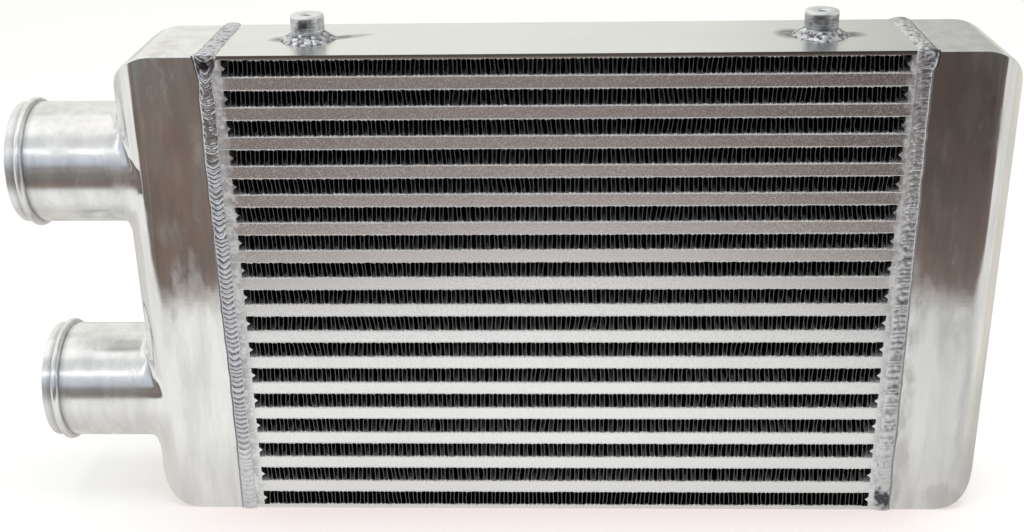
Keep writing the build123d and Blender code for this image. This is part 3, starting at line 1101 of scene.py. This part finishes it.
# The floor's painted reflection, what metal sees of it as glow: a white table, a dark room, and
# painted light and shade to the sides.
WHITE_REACH = 487.0  # how far the white table runs on in front of the cooler
WHITE_TAPER = 0.33  # and how much less far for each millimetre to the side
TAPER_END = 400.0
SIDE_START = 600.0  # where the white reaches further again
WHITE_FADE = 60.0  # over which it turns dark
FLOOR_HALF = 12000.0
TABLE_COLOUR = (0.94, 0.945, 0.93)
ROOM_COLOURS = (
    (0.3, (0.13, 0.135, 0.145)),
    (0.45, darker(FRONT_ROOM, 0.9)),
    (0.56, (0.23, 0.165, 0.14)),
    (0.7, (0.32, 0.29, 0.27)),
)
ROOM_GLOW = (0.46, 0.36, 0.33)  # near the table's edge
ROOM_SIDES = (0.235, 0.243, 0.228)
NEAR_SIDE = ((0.33, 0.95), (0.5, 1), (0.6, 0.88), (0.7, 0.58), (0.76, 0.8))
FAR_SIDE = ((0.33, 0.95), (0.5, 1), (0.6, 0.88), (0.68, 0.43))


def painted_shadow_share(nodes, x, y):
    """Share of the floor's painted shadow: 1 under the cooler, falling to 0 a hand's breadth away."""
    past_x = nodes.higher(nodes.minus(nodes.size(x), JOINT * MM), 0.0)
    past_y = nodes.higher(nodes.minus(nodes.size(y), HALF_DEPTH * MM), 0.0)
    away = nodes.maths("SQRT", nodes.squares(past_x, past_y))
    return nodes.ramp(nodes.times(away, 10.0), (0, 1), (0.35, 0.5), (1, 0))


def painted_floor_reflection(nodes, place, x, y):
    """The floor in reflections, a painted reflection that glows: a white table in front that ends in
    a dark room, with painted light and shadow.
    """
    forward = nodes.times(y, -1 / MM)
    sideways = nodes.times(nodes.size(x), 1 / MM)
    across = nodes.scaled(x, 0.5, 0.5)
    nearer = nodes.times(nodes.lower(sideways, TAPER_END), WHITE_TAPER)
    further = nodes.higher(nodes.minus(sideways, SIDE_START), 0.0)
    past = nodes.minus(nodes.plus(forward, nodes.minus(nearer, further)), WHITE_REACH)
    share = nodes.scaled(past, 1 / WHITE_FADE, 0.5)

    room = nodes.ramp(nodes.noise(place, (9.0, 1.6, 1.0), 3.0, 0.6), *ROOM_COLOURS)
    glow = nodes.ramp(nodes.times(past, 0.001), (0, 0.85), (0.25, 0.45), (0.5, 0))
    middle = nodes.ramp(across, (0.34, 0), (0.4, 0.55), (0.6, 0.55), (0.68, 1))
    room = nodes.mix(nodes.times(glow, middle), room, ROOM_GLOW)
    aside = nodes.ramp(across, (0.195, 1), (0.225, 0), (0.8, 0), (0.83, 1))
    far = nodes.ramp(nodes.times(past, 0.0005), (0.2, 0), (0.26, 1), (0.5, 1), (0.65, 0))
    room = nodes.mix(nodes.times(aside, far), room, ROOM_SIDES)

    table = nodes.mix(nodes.lower(nodes.higher(share, 0.0), 1.0), TABLE_COLOUR, room)
    sides = nodes.mix(share, nodes.ramp(across, *NEAR_SIDE), nodes.ramp(across, *FAR_SIDE))
    table = nodes.multiplied(table, sides)
    ahead = nodes.times(forward, 0.001)
    # Painted light: the reflected floor is brighter close to the cooler on its right.
    beside = nodes.ramp(ahead, (0.09, 0.45), (0.17, 0))
    beside = nodes.times(beside, nodes.ramp(across, (0.655, 0), (0.68, 1)))
    table = nodes.mix(beside, table, (1.1, 1.1, 1.0))
    # Painted shadow in the reflected floor close to the cooler.
    return nodes.multiplied(table, nodes.ramp(ahead, (0.04, (0.8, 0.775, 0.765)), (0.14, WHITE)))


def make_floor():
    """A wide white floor that keeps the cooler's shadow, with a painted pinkish shadow in its glow
    near the cooler.
    """
    outline = [(-1, -1, 0), (1, -1, 0), (1, 1, 0), (-1, 1, 0)]
    floor = mesh_object("floor", np.array(outline) * FLOOR_HALF, [(0, 1, 2, 3)])
    material = bpy.data.materials.new("floor")
    nodes = tree_of(material)
    path = nodes.add("LightPath").outputs
    place = nodes.add("TexCoord").outputs["Object"]
    x, y, _ = nodes.split(place)
    table = painted_floor_reflection(nodes, place, x, y)
    # Metal sees the floor's painted reflection, as glow.
    reflected = nodes.add("Emission", Color=table, Strength=1.0)
    under = painted_shadow_share(nodes, x, y)
    # Painted shadow: near the cooler the floor glows dimmer and pinker, and its diffuse part is
    # stronger.
    glow = nodes.mix(under, (0.62, 0.59, 0.57), (0.4, 0.3, 0.3))
    shade = nodes.mix(under, (0.42, 0.46, 0.45), (0.62, 0.62, 0.6))
    glow_with_painted_shadow = nodes.add("Emission", Color=glow, Strength=1.0)
    shaded = nodes.add("BsdfDiffuse", Color=shade)
    seen = nodes.fill(nodes.add("AddShader"), glow_with_painted_shadow, shaded)
    plain = nodes.add("BsdfDiffuse", Color=(0.8, 0.8, 0.8))
    shader = nodes.switch(path["Is Camera Ray"], plain, seen)
    shader = nodes.switch(path["Is Glossy Ray"], shader, reflected)
    nodes.add("OutputMaterial", Surface=shader)
    paint(floor, material)


def make_lamp():
    """One broad soft lamp overhead."""
    data = bpy.data.lights.new("soft_lamp", "AREA")
    data.shape = "RECTANGLE"
    data.size = 1.6
    data.size_y = 1.0
    data.energy = 16.0
    lamp = bpy.data.objects.new("soft_lamp", data)
    lamp.location = (0.1, -0.1, 1.7)
    lamp.visible_glossy = False
    scene.collection.objects.link(lamp)


# === the cooler

TANK_METAL = metal("polished_casting", (0.915, 0.915, 0.9), 0.1, polished)
PLATE_METAL = metal("satin_plate", (0.88, 0.89, 0.86), 0.24, satin)
TOP_METAL = metal("top_plate", (0.88, 0.89, 0.86), 0.24, top_plate)
BAR_METAL = metal("brazed_bar", (0.95, 0.945, 0.945), 0.29, brazed)
SHEET_METAL = metal("sheet_edge", (1.0, 0.99, 0.98), 0.8, satin)
BRAZE_METAL = metal("braze_fillet", (1.0, 0.99, 0.97), 0.7, satin)
WELD_METAL = metal("weld_metal", (0.87, 0.88, 0.905), 0.24, welded)
SOFT_WELD_METAL = metal("weld_metal_soft", (0.87, 0.87, 0.885), 0.38, welded)
LEFT_BOSS_METAL = metal("turned_boss_left", (0.86, 0.87, 0.87), 0.3, scorched)
RIGHT_BOSS_METAL = metal("turned_boss_right", (0.58, 0.59, 0.6), 0.3, turned)
FOIL_METAL = metal("fin_foil", (0.38, 0.39, 0.405), 0.5, foil)

left_tank(TANK_METAL)
right_tank(TANK_METAL)
for row in range(1, COOLING_ROWS + 1):
    cooling_fin(row, FOIL_METAL)
    braze_edges(row, BRAZE_METAL)
tank_weld(LEFT_BEAD, WELD_METAL)
boss("left", 51, LEFT_BOSS_METAL)
boss_weld("left", 61, WELD_METAL)
tank_weld(RIGHT_BEAD, SOFT_WELD_METAL)
boss("right", 52, RIGHT_BOSS_METAL)
boss_weld("right", 62, WELD_METAL)

KEPT_NODES = {
    "top_side_plate": TOP_METAL,
    "bottom_side_plate": PLATE_METAL,
    "long_bars": BAR_METAL,
    "end_bars": BAR_METAL,
    "separator_sheets": SHEET_METAL,
    "charge_fin": BAR_METAL,
    "tank_divider": BAR_METAL,
}
for name, node in frame["nodes"].items():
    for word, material in KEPT_NODES.items():
        if word in name:
            paint(node, material)

make_camera()
make_world()
make_floor()
make_lamp()
scene.view_settings.view_transform = "Standard"
